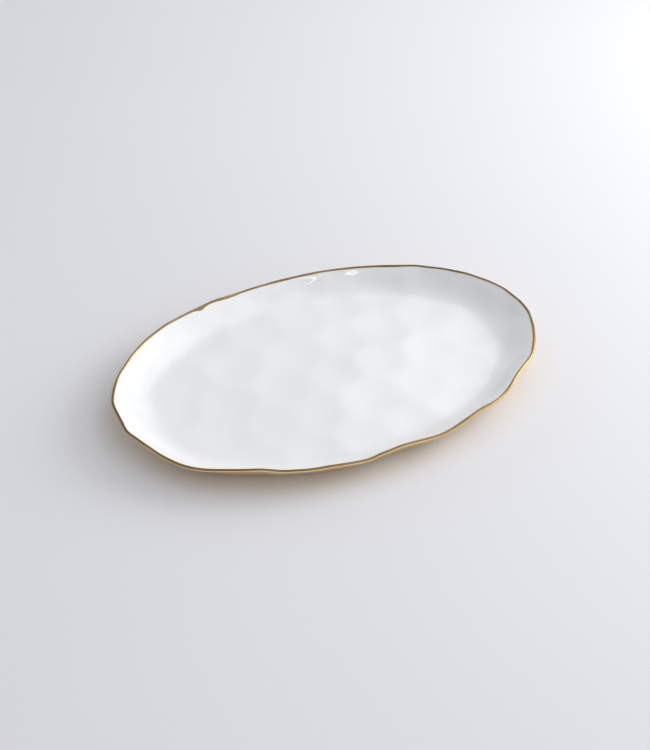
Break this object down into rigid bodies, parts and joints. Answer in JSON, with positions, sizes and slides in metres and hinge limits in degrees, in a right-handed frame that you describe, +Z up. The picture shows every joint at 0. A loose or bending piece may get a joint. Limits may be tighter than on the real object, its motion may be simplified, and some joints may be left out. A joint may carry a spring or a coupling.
{
  "type": "serving platter",
  "caption": "Oval china serving platter with a shallow hammered well, a wavy flared lip with a gold edge and a foot ring, for laying food out on the table.",
  "frame": {"origin": "on the table under the middle of the platter, at the foot ring's bottom face", "axes": "+X along the platter's length, +Y across it, +Z up out of the well"},
  "size_m": [0.4587, 0.2899, 0.0318],
  "materials": {
    "porcelain": "matte",
    "bare_porcelain": "matte",
    "white_glaze": "gloss",
    "gold": "polished"
  },
  "bodies": {
    "root": {"porcelain_body": "porcelain", "foot_ring": "bare_porcelain", "serving_face_glaze": "white_glaze", "outer_wall_glaze": "white_glaze", "base_glaze": "white_glaze", "gold_wall_coat": "gold", "gold_rim_band": "gold"}
  },
  "joints": []
}
